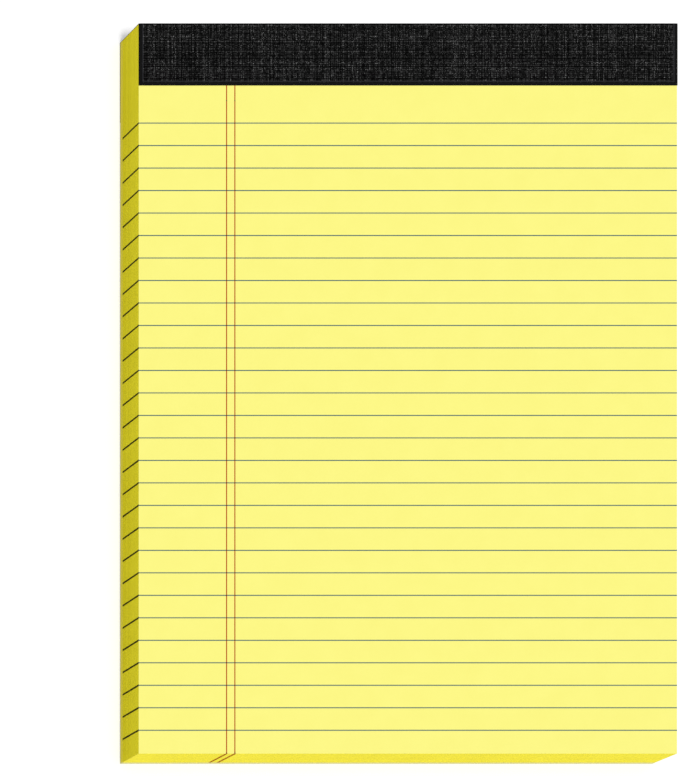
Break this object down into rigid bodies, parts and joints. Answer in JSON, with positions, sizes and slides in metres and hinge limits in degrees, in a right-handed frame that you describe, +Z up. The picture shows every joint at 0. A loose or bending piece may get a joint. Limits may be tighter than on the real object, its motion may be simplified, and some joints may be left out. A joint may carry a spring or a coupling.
{
  "type": "legal pad",
  "caption": "Yellow ruled writing pad, bound at the head with black book cloth over staples, on a chipboard back.",
  "frame": {"origin": "middle of the pad, on the surface that it lies on", "axes": "+X across the pad to the right, +Y towards the bound head, +Z up out of the writing face"},
  "size_m": [0.216, 0.2928, 0.0072],
  "materials": {
    "yellow_paper": "matt, uncoated",
    "chipboard": "matt, fibrous, straw-coloured",
    "black_book_cloth": "matt linen weave",
    "staple_wire": "bright wire",
    "blue_ink": "printed, matt",
    "red_ink": "printed, matt"
  },
  "bodies": {
    "root": {"ruled_sheets": "yellow_paper", "backing_board": "chipboard", "binding_tape": "black_book_cloth", "binding_staples": "staple_wire", "blue_rules": "blue_ink", "margin_rules": "red_ink"}
  },
  "joints": []
}
